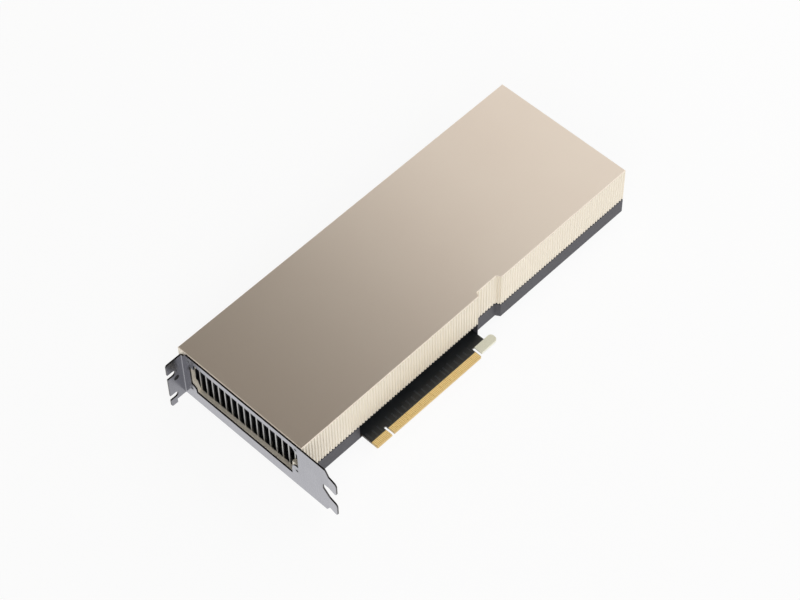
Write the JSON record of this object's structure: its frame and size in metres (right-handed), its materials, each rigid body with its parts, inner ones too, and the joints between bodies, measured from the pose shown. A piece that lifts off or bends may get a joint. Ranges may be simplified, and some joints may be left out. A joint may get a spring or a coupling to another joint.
{
  "type": "passive accelerator card",
  "caption": "Flat dual-slot plug-in card with a fluted metal cover, dark base frame, slotted edge tab, folded mounting bracket with an exhaust window, and an open rear air inlet.",
  "frame": {"origin": "centre line of the key notch, at the tip of the contact edge and the middle of the board's thickness", "axes": "+X from the bracket to the rear end, +Y from the contact edge to the far edge, +Z from the back plate to the cover"},
  "size_m": [0.2802, 0.1261, 0.0431],
  "materials": {
    "cover_metal": "fine bead-blasted and anodised in a pale champagne tone",
    "frame_paint": "dark grey satin powder coat",
    "board_laminate": "black solder mask over glass laminate",
    "gold_plate": "hard gold plating",
    "steel_fasteners": "plain turned steel",
    "bracket_steel": "satin nickel-plated sheet",
    "black_plastic": "moulded black plastic",
    "grille_aluminium": "plain stamped sheet",
    "sink_aluminium": "nickel-plated base",
    "fin_aluminium": "dark anodised folded fins",
    "substrate_laminate": "dark green laminate",
    "silicon": "polished silicon",
    "ferrite": "pressed iron powder",
    "pad_rubber": "soft grey-blue gap pad",
    "can_aluminium": "plain drawn can",
    "insert_brass": "turned brass",
    "black_fasteners": "black oxide steel"
  },
  "bodies": {
    "root": {"top_cover": "cover_metal", "base_frame": "frame_paint", "back_plate": "frame_paint", "circuit_board": "board_laminate", "contacts_component_side": "gold_plate", "contacts_solder_side": "gold_plate", "board_spacers": "steel_fasteners", "bracket": "bracket_steel", "bracket_screws": "steel_fasteners", "tab_plug": "black_plastic", "exhaust_grille": "grille_aluminium", "heatsink_base": "sink_aluminium", "heatsink_fins": "fin_aluminium", "processor_substrate": "substrate_laminate", "processor_die": "silicon", "memory_stacks": "black_plastic", "package_stiffener": "steel_fasteners", "inductors": "ferrite", "power_stages": "black_plastic", "thermal_pads": "pad_rubber", "capacitors": "can_aluminium", "power_inlet": "black_plastic", "inlet_pins": "gold_plate", "rear_inserts": "insert_brass", "cover_screws": "black_fasteners", "board_screws": "black_fasteners"}
  },
  "joints": []
}
